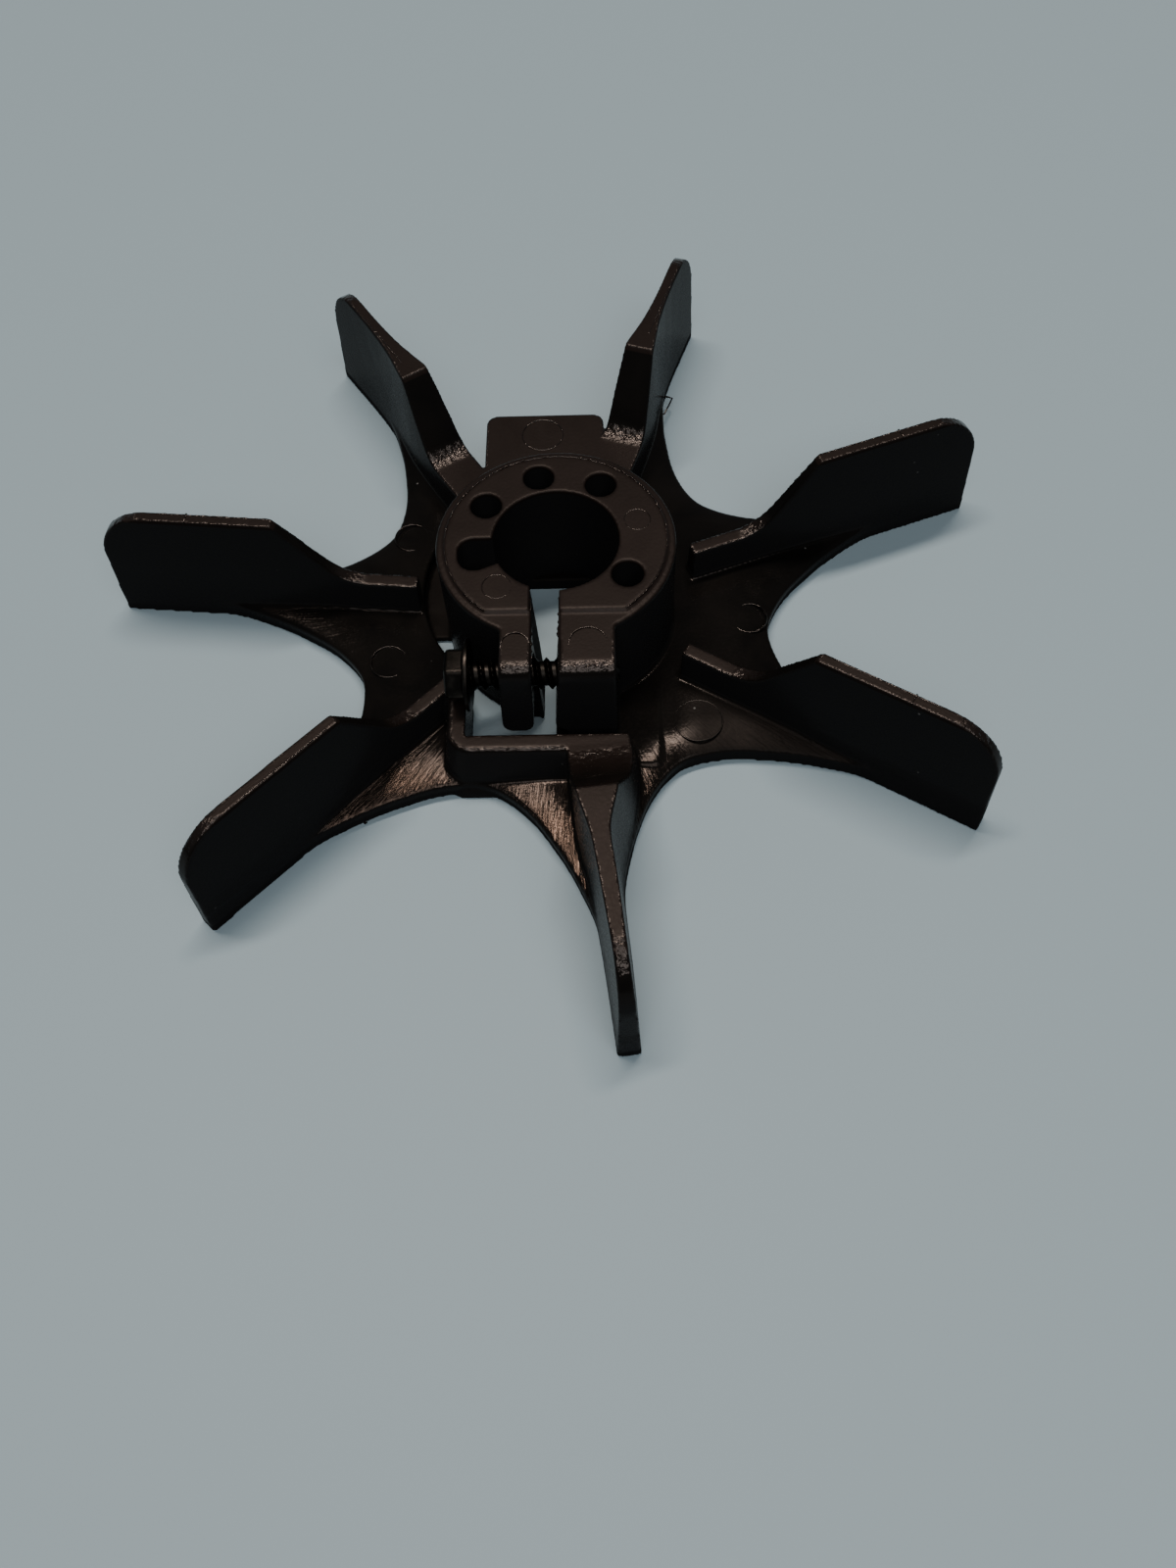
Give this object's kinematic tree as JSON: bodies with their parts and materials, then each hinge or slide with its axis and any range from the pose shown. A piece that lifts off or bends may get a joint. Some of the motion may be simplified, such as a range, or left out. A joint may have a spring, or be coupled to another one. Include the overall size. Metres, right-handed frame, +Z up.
{
  "type": "axial fan impeller",
  "caption": "Moulded axial fan impeller: straight radial blades on a thin star web, with a split hub that a cross screw clamps round a shaft or boss.",
  "frame": {"origin": "bore axis at the plane the blades rest on", "axes": "+Z up along the bore axis, away from the surface the impeller lies on; the clamp slot runs towards -Y and the clamp screw lies along X"},
  "size_m": [0.1222, 0.1227, 0.019],
  "materials": {
    "moulding": "semi-gloss black-brown moulded plastic",
    "screw": "dark oxide"
  },
  "bodies": {
    "root": {"impeller": "moulding", "clamp_screw": "screw"}
  },
  "joints": []
}
